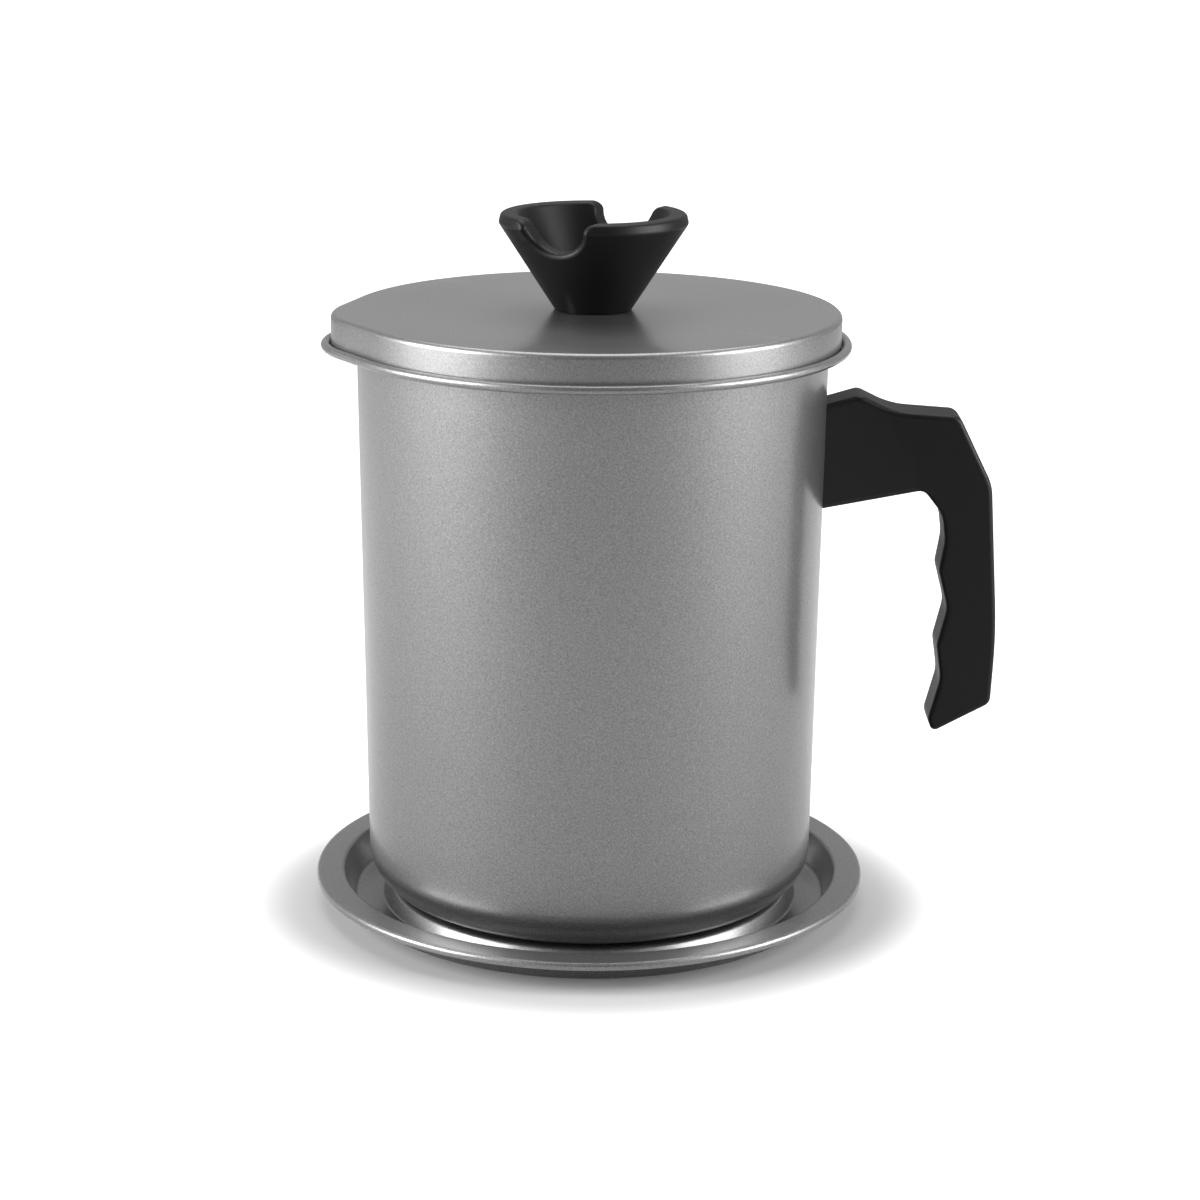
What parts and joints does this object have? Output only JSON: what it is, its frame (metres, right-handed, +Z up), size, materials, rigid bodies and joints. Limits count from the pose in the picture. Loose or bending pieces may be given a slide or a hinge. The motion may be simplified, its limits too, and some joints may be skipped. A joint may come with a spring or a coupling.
{
  "type": "bacon grease container",
  "caption": "Lidded steel grease pot with a pouring lip, a grip handle, a lift-out strainer and a drip tray.",
  "frame": {"origin": "on the pot's axis, on the surface that the tray stands on", "axes": "+Z up along the pot's axis, +X towards the handle; the pouring lip lies 7.5 degrees round from -X"},
  "size_m": [0.1922, 0.1568, 0.1966],
  "materials": {
    "coated_steel": "satin non-stick coating with fine metallic flake",
    "black_plastic": "matte moulded",
    "bright_steel": "plated",
    "mesh_steel": "woven wire",
    "seal": "silicone",
    "brass": "machined"
  },
  "bodies": {
    "tray": {"tray": "coated_steel"},
    "pot": {"pot_body": "coated_steel", "handle": "black_plastic", "handle_insert": "brass", "handle_screw": "bright_steel", "handle_washer": "bright_steel", "handle_seal": "seal"},
    "strainer": {"strainer_cup": "bright_steel", "strainer_mesh": "mesh_steel", "strainer_clamp_ring": "bright_steel"},
    "lid": {"lid": "coated_steel", "knob": "black_plastic", "knob_insert": "brass", "knob_screw": "bright_steel", "knob_washer": "bright_steel"}
  },
  "joints": [
    {"name": "pot_lift", "type": "slide", "parent": "tray", "child": "pot", "axis": [0, 0, 1], "range_m": [0, 0.06]},
    {"name": "strainer_lift", "type": "slide", "parent": "pot", "child": "strainer", "axis": [0, 0, 1], "range_m": [0, 0.06]},
    {"name": "lid_lift", "type": "slide", "parent": "strainer", "child": "lid", "axis": [0, 0, 1], "range_m": [0, 0.06]}
  ]
}
